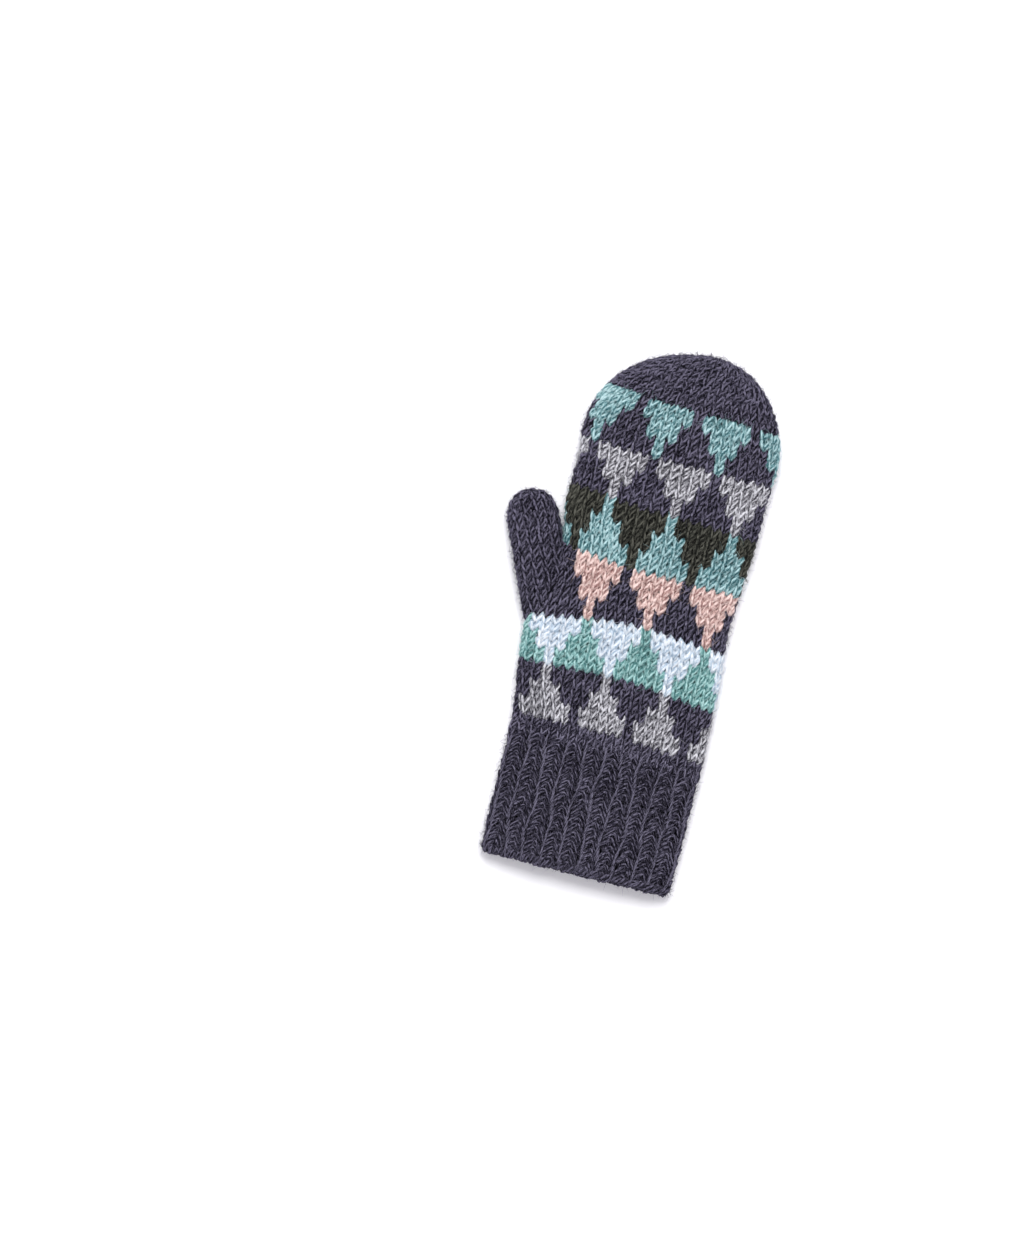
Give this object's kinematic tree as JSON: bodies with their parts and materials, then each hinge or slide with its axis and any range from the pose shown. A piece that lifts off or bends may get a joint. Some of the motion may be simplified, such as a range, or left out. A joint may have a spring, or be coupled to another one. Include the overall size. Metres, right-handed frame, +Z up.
{
  "type": "mitten",
  "caption": "Knitted wool mitten for the right hand, lying on its palm: ribbed cuff, hand patterned in bands of small triangles, plain rounded fingertip and a thumb set in the side.",
  "frame": {"origin": "middle of the footprint, on the surface that the mitten lies on", "axes": "+Y from the mouth of the cuff to the fingertip, +X towards the little finger's side with the thumb on the -X side, +Z up from the palm to the back of the hand"},
  "size_m": [0.1234, 0.26, 0.02],
  "materials": {
    "charcoal_wool": "charcoal wool with a violet cast, knitted, soft and slightly hairy",
    "mint_wool": "pale blue-green wool, knitted, soft and slightly hairy",
    "teal_wool": "deeper blue-green wool, knitted, soft and slightly hairy",
    "rose_wool": "dusty rose wool, knitted, soft and slightly hairy",
    "white_wool": "icy white wool, knitted, soft and slightly hairy",
    "grey_wool": "light grey marled wool, knitted, soft and slightly hairy",
    "green_wool": "very dark green wool, knitted, soft and slightly hairy"
  },
  "bodies": {
    "root": {"cuff": "charcoal_wool", "hand": "mint_wool", "fingertip": "charcoal_wool", "thumb": "charcoal_wool"}
  },
  "joints": []
}
